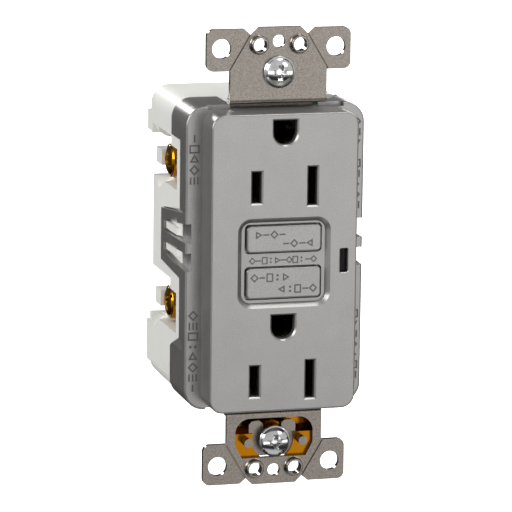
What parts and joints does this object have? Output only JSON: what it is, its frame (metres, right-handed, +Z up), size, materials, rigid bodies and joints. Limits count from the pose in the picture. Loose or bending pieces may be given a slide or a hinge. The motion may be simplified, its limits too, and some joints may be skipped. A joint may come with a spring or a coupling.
{
  "type": "ground-fault receptacle outlet",
  "caption": "Duplex ground-fault wall outlet with test and reset buttons, steel mounting strap, side wire terminals and trip mechanism.",
  "frame": {"origin": "halfway between the two wall-plate screw holes, on the back face of the mounting strap, which lies against the wall", "axes": "+X to the right as seen from the room, the face looks along -Y, +Z up along the strap"},
  "size_m": [0.0408, 0.0467, 0.1032],
  "materials": {
    "cover_nylon": "moulded fine matte grey nylon",
    "housing_nylon": "moulded satin off-white nylon",
    "frame_nylon": "moulded black nylon",
    "zinc_steel": "bright zinc-plated steel",
    "strap_steel": "zinc-plated steel sheet, satin",
    "brass": "bright brass",
    "nickel": "nickel-plated brass",
    "lens": "smoked clear polycarbonate",
    "led_resin": "diffuse epoxy",
    "board": "green solder mask over glass epoxy",
    "copper_winding": "enamelled copper",
    "yoke_steel": "plain steel sheet",
    "spring_steel": "spring wire",
    "toroid_tape": "taped winding",
    "varistor_epoxy": "dipped blue epoxy",
    "capacitor_box": "yellow moulded box",
    "chip_epoxy": "black moulded epoxy",
    "resistor_lacquer": "beige lacquer",
    "fibre": "red vulcanised fibre",
    "chrome_screw": "bright plated steel",
    "green_screw": "green dichromate finish"
  },
  "bodies": {
    "housing": {"front_cover": "cover_nylon", "rear_housing": "housing_nylon", "housing_screws": "zinc_steel", "inner_frame": "frame_nylon", "mounting_strap": "strap_steel", "grounding_clip": "brass", "screw_retainer": "strap_steel", "hot_contact": "brass", "neutral_contact": "brass", "upper_ground_contact": "brass", "lower_ground_contact": "brass", "test_contact": "brass", "light_pipe": "lens", "indicator_led": "led_resin", "circuit_board": "board", "hot_arm_post": "brass", "neutral_arm_post": "brass", "hot_fixed_contact": "brass", "neutral_fixed_contact": "brass", "solenoid_bobbin": "frame_nylon", "solenoid_coil": "copper_winding", "solenoid_yoke": "yoke_steel", "plunger_spring": "spring_steel", "toroid_carrier": "frame_nylon", "sense_toroid": "toroid_tape", "neutral_toroid": "toroid_tape", "line_leads": "copper_winding", "varistor": "varistor_epoxy", "capacitor": "capacitor_box", "control_chip": "chip_epoxy", "trip_thyristor": "chip_epoxy", "resistors": "resistor_lacquer", "diodes": "chip_epoxy", "retaining_washer": "fibre", "line_hot_terminal": "brass", "line_neutral_terminal": "nickel", "load_hot_terminal": "brass", "load_neutral_terminal": "nickel"},
    "line_hot_clamp": {"line_hot_clamp": "brass"},
    "line_hot_screw": {"line_hot_screw": "brass"},
    "line_neutral_clamp": {"line_neutral_clamp": "nickel"},
    "line_neutral_screw": {"line_neutral_screw": "nickel"},
    "load_hot_clamp": {"load_hot_clamp": "brass"},
    "load_hot_screw": {"load_hot_screw": "brass"},
    "load_neutral_clamp": {"load_neutral_clamp": "nickel"},
    "load_neutral_screw": {"load_neutral_screw": "nickel"},
    "test_button": {"test_button": "cover_nylon"},
    "test_blade": {"test_blade": "brass"},
    "reset_button": {"reset_button": "cover_nylon", "reset_pin": "zinc_steel", "reset_spring": "spring_steel"},
    "lifter": {"lifter": "frame_nylon"},
    "latch_plate": {"latch_plate": "zinc_steel"},
    "plunger": {"solenoid_plunger": "zinc_steel"},
    "hot_contact_arm": {"hot_contact_arm": "brass"},
    "neutral_contact_arm": {"neutral_contact_arm": "brass"},
    "ground_screw": {"ground_screw": "green_screw"},
    "upper_box_screw": {"upper_box_screw": "chrome_screw"},
    "lower_box_screw": {"lower_box_screw": "chrome_screw"}
  },
  "joints": [
    {"name": "line_hot_clamp_slide", "type": "slide", "parent": "housing", "child": "line_hot_clamp", "axis": [-1, 0, 0], "range_m": [0, 0.0024]},
    {"name": "line_hot_screw_turn", "type": "hinge", "parent": "line_hot_clamp", "child": "line_hot_screw", "pos_m": [-0.018, 0.0236, 0.0184], "axis": [-1, 0, 0], "range_deg": [0, 1088.5]},
    {"name": "line_neutral_clamp_slide", "type": "slide", "parent": "housing", "child": "line_neutral_clamp", "axis": [1, 0, 0], "range_m": [0, 0.0024]},
    {"name": "line_neutral_screw_turn", "type": "hinge", "parent": "line_neutral_clamp", "child": "line_neutral_screw", "pos_m": [0.018, 0.0236, 0.0184], "axis": [1, 0, 0], "range_deg": [0, 1088.5]},
    {"name": "load_hot_clamp_slide", "type": "slide", "parent": "housing", "child": "load_hot_clamp", "axis": [-1, 0, 0], "range_m": [0, 0.0024]},
    {"name": "load_hot_screw_turn", "type": "hinge", "parent": "load_hot_clamp", "child": "load_hot_screw", "pos_m": [-0.018, 0.0236, -0.0143], "axis": [-1, 0, 0], "range_deg": [0, 1088.5]},
    {"name": "load_neutral_clamp_slide", "type": "slide", "parent": "housing", "child": "load_neutral_clamp", "axis": [1, 0, 0], "range_m": [0, 0.0024]},
    {"name": "load_neutral_screw_turn", "type": "hinge", "parent": "load_neutral_clamp", "child": "load_neutral_screw", "pos_m": [0.018, 0.0236, -0.0143], "axis": [1, 0, 0], "range_deg": [0, 1088.5]},
    {"name": "test_press", "type": "slide", "parent": "housing", "child": "test_button", "axis": [0, 1, 0], "range_m": [0, 0.0012], "stiffness_N_per_m": 600},
    {"name": "test_blade_bend", "type": "hinge", "parent": "housing", "child": "test_blade", "pos_m": [0, 0.00915, 0.0125], "axis": [1, 0, 0], "range_deg": [0, 11]},
    {"name": "reset_press", "type": "slide", "parent": "housing", "child": "reset_button", "axis": [0, 1, 0], "range_m": [0, 0.0018], "stiffness_N_per_m": 800},
    {"name": "contacts_open", "type": "slide", "parent": "housing", "child": "lifter", "axis": [0, 1, 0], "range_m": [0, 0.0012], "stiffness_N_per_m": 300},
    {"name": "hot_arm_bend", "type": "hinge", "parent": "housing", "child": "hot_contact_arm", "pos_m": [-0.0085, 0.0192, 0.006], "axis": [1, 0, 0], "range_deg": [0, 5]},
    {"name": "neutral_arm_bend", "type": "hinge", "parent": "housing", "child": "neutral_contact_arm", "pos_m": [0.0085, 0.0192, 0.006], "axis": [1, 0, 0], "range_deg": [0, 5]},
    {"name": "plunger_pull", "type": "slide", "parent": "housing", "child": "plunger", "axis": [0, 0, 1], "range_m": [0, 0.0015], "stiffness_N_per_m": 300, "deforming": ["plunger_spring"]},
    {"name": "latch_shift", "type": "slide", "parent": "lifter", "child": "latch_plate", "axis": [0, 0, 1], "range_m": [0, 0.0015]},
    {"name": "ground_screw_turn", "type": "hinge", "parent": "housing", "child": "ground_screw", "pos_m": [0.014, 0.0108, 0.031], "axis": [1, 0, 0], "range_deg": [0, 720]},
    {"name": "upper_box_screw_slide", "type": "slide", "parent": "housing", "child": "upper_box_screw", "axis": [0, -1, 0], "range_m": [0, 0.006]},
    {"name": "lower_box_screw_slide", "type": "slide", "parent": "housing", "child": "lower_box_screw", "axis": [0, -1, 0], "range_m": [0, 0.006]}
  ],
  "couplings": [
    {"joint": "line_hot_screw_turn", "follows": "line_hot_clamp_slide", "rad_per_m": 7915.8},
    {"joint": "line_neutral_screw_turn", "follows": "line_neutral_clamp_slide", "rad_per_m": 7915.8},
    {"joint": "load_hot_screw_turn", "follows": "load_hot_clamp_slide", "rad_per_m": 7915.8},
    {"joint": "load_neutral_screw_turn", "follows": "load_neutral_clamp_slide", "rad_per_m": 7915.8},
    {"joint": "test_blade_bend", "follows": "test_press", "rad_per_m": 154.3},
    {"joint": "hot_arm_bend", "follows": "contacts_open", "rad_per_m": 71.9},
    {"joint": "neutral_arm_bend", "follows": "contacts_open", "rad_per_m": 71.9},
    {"joint": "latch_shift", "follows": "plunger_pull", "ratio": 1}
  ]
}
